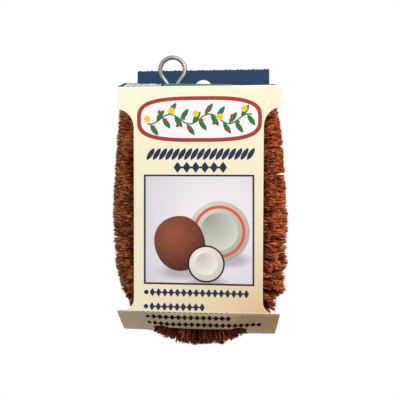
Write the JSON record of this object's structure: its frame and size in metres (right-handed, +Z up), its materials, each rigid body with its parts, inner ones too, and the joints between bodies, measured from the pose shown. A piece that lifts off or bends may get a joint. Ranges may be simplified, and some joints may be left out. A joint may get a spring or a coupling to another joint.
{
  "type": "dish brush",
  "caption": "Dish brush of coir fibre on a twisted wire bent into a U, with a wire hanging eye, in a folded card sleeve whose front and top panels open.",
  "frame": {"origin": "where a hook seats in the hanging eye, at the inside of its top", "axes": "+Z up with the brush hanging as in use, +X to the right seen from the front panel, -Y out of the front panel"},
  "size_m": [0.0894, 0.0454, 0.1481],
  "materials": {
    "coir_fibre": "matt brown coconut fibre",
    "galvanised_wire": "dull zinc",
    "cream_card": "smooth printed board",
    "navy_card": "smooth printed board"
  },
  "bodies": {
    "brush": {"left_fibre_1": "coir_fibre", "left_fibre_2": "coir_fibre", "left_fibre_3": "coir_fibre", "left_fibre_4": "coir_fibre", "bend_fibre_1": "coir_fibre", "bend_fibre_2": "coir_fibre", "bend_fibre_3": "coir_fibre", "bend_fibre_4": "coir_fibre", "bend_fibre_5": "coir_fibre", "right_fibre_1": "coir_fibre", "right_fibre_2": "coir_fibre", "right_fibre_3": "coir_fibre", "right_fibre_4": "coir_fibre", "twisted_core": "galvanised_wire", "hanging_eye": "galvanised_wire", "cross_tie": "galvanised_wire", "fold_loop": "galvanised_wire", "back_panel": "navy_card", "bottom_panel": "cream_card"},
    "front_card": {"front_panel": "cream_card"},
    "top_card": {"top_panel": "cream_card"}
  },
  "joints": [
    {"name": "front_crease", "type": "hinge", "parent": "brush", "child": "front_card", "pos_m": [0.0144, -0.02275, -0.12865], "axis": [1, 0, 0], "range_deg": [0, 120]},
    {"name": "top_crease", "type": "hinge", "parent": "front_card", "child": "top_card", "pos_m": [0.0144, -0.02275, -0.01615], "axis": [1, 0, 0], "range_deg": [0, 90]}
  ]
}
